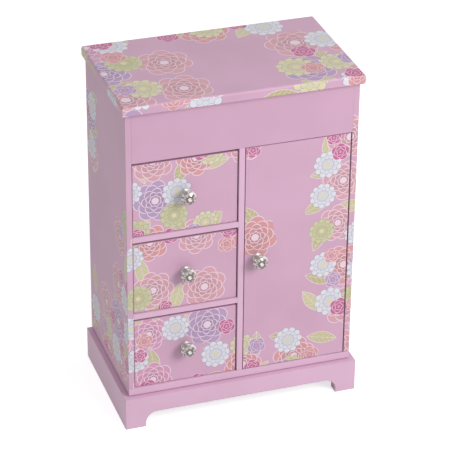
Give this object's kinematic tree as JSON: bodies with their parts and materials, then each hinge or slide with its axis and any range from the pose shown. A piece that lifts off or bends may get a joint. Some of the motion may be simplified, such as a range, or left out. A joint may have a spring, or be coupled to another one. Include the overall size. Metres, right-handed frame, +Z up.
{
  "type": "musical jewellery box",
  "caption": "Upright pink musical jewellery box with a lift-up lid, front drawers, a necklace door and a clockwork movement that turns a dancer",
  "frame": {"origin": "centre of the underside of the box", "axes": "+X to the door side, -Y to the front with the drawers and the door, +Z up"},
  "size_m": [0.209, 0.144, 0.3053],
  "materials": {
    "printed_board": "pink paper laminate with a floral print",
    "painted_board": "satin pink paint",
    "drawer_board": "pink paper over thin board",
    "felt": "flocked lining",
    "ring_roll": "padded velvet",
    "knob_metal": "silver plating",
    "knob_crystal": "clear faceted acrylic",
    "mirror": "silvered glass",
    "hinge_steel": "plated steel",
    "movement_steel": "machined steel",
    "movement_brass": "machined brass",
    "cover": "moulded cover",
    "dancer": "painted moulding",
    "magnet": "catch housing"
  },
  "bodies": {
    "cabinet": {"plinth_front": "painted_board", "plinth_sides": "painted_board", "plinth_back": "painted_board", "bottom_board": "painted_board", "left_side_panel": "printed_board", "right_side_panel": "printed_board", "back_panel": "painted_board", "centre_divider": "printed_board", "drawer_shelves": "painted_board", "front_apron": "printed_board", "compartment_floor": "painted_board", "lid_hinge_fixed_leaves": "hinge_steel", "lid_hinge_pins": "hinge_steel", "door_pivot_pins": "hinge_steel", "door_magnet_catch": "magnet", "tray_divider": "painted_board", "tray_lining": "felt", "ring_rolls": "ring_roll", "necklace_hooks": "hinge_steel", "movement_frame": "movement_steel", "music_comb": "movement_steel", "movement_cover": "cover"},
    "lid": {"lid_panel": "printed_board", "lid_mirror": "mirror", "lid_hinge_moving_leaves": "hinge_steel"},
    "door": {"door_panel": "printed_board", "door_strike_plate": "hinge_steel", "door_knob_base": "knob_metal", "door_knob_crystal": "knob_crystal"},
    "lower_drawer": {"lower_drawer_front": "printed_board", "lower_drawer_sides": "drawer_board", "lower_drawer_back": "drawer_board", "lower_drawer_bottom": "drawer_board", "lower_drawer_lining": "felt", "lower_drawer_knob_base": "knob_metal", "lower_drawer_knob_crystal": "knob_crystal"},
    "middle_drawer": {"middle_drawer_front": "printed_board", "middle_drawer_sides": "drawer_board", "middle_drawer_back": "drawer_board", "middle_drawer_bottom": "drawer_board", "middle_drawer_lining": "felt", "middle_drawer_knob_base": "knob_metal", "middle_drawer_knob_crystal": "knob_crystal"},
    "upper_drawer": {"upper_drawer_front": "printed_board", "upper_drawer_sides": "drawer_board", "upper_drawer_back": "drawer_board", "upper_drawer_bottom": "drawer_board", "upper_drawer_lining": "felt", "upper_drawer_knob_base": "knob_metal", "upper_drawer_knob_crystal": "knob_crystal"},
    "key": {"winding_arbor": "movement_steel", "winding_key": "movement_steel"},
    "barrel": {"spring_barrel": "movement_brass", "mainspring": "movement_steel"},
    "cylinder": {"music_cylinder": "movement_brass", "dancer_turntable": "dancer", "dancer": "dancer"},
    "wheel": {"intermediate_wheel": "movement_brass"},
    "governor": {"governor_fan": "movement_brass"},
    "rod": {"stop_rod": "hinge_steel"}
  },
  "joints": [
    {"name": "lid_hinge", "type": "hinge", "parent": "cabinet", "child": "lid", "pos_m": [0, 0.0608, 0.2975], "axis": [-1, 0, 0], "range_deg": [0, 95]},
    {"name": "door_hinge", "type": "hinge", "parent": "cabinet", "child": "door", "pos_m": [0.0911, -0.0564, 0.1445], "axis": [0, 0, 1], "range_deg": [0, 105]},
    {"name": "lower_drawer_slide", "type": "slide", "parent": "cabinet", "child": "lower_drawer", "axis": [0, -1, 0], "range_m": [0, 0.08]},
    {"name": "middle_drawer_slide", "type": "slide", "parent": "cabinet", "child": "middle_drawer", "axis": [0, -1, 0], "range_m": [0, 0.08]},
    {"name": "upper_drawer_slide", "type": "slide", "parent": "cabinet", "child": "upper_drawer", "axis": [0, -1, 0], "range_m": [0, 0.08]},
    {"name": "winding_key_turn", "type": "hinge", "parent": "cabinet", "child": "key", "pos_m": [0.048, 0.06, 0.2325], "axis": [0, 1, 0], "continuous": true},
    {"name": "barrel_turn", "type": "hinge", "parent": "cabinet", "child": "barrel", "pos_m": [0.048, 0.048, 0.2325], "axis": [0, 1, 0], "continuous": true},
    {"name": "cylinder_turn", "type": "hinge", "parent": "cabinet", "child": "cylinder", "pos_m": [0.048, 0.03681, 0.2325], "axis": [0, 0, 1], "continuous": true},
    {"name": "intermediate_turn", "type": "hinge", "parent": "cabinet", "child": "wheel", "pos_m": [0.05751, 0.03372, 0.2325], "axis": [0, 0, 1], "continuous": true},
    {"name": "governor_turn", "type": "hinge", "parent": "cabinet", "child": "governor", "pos_m": [0.06601, 0.03372, 0.2325], "axis": [0, 0, 1], "continuous": true},
    {"name": "stop_rod_rise", "type": "slide", "parent": "cabinet", "child": "rod", "axis": [0, 0, 1], "range_m": [0, 0.004]}
  ],
  "couplings": [
    {"joint": "cylinder_turn", "follows": "barrel_turn", "ratio": -1.3333},
    {"joint": "intermediate_turn", "follows": "barrel_turn", "ratio": 1.3333},
    {"joint": "governor_turn", "follows": "barrel_turn", "ratio": -3.2},
    {"joint": "stop_rod_rise", "follows": "lid_hinge", "m_per_rad": 0.002412}
  ]
}
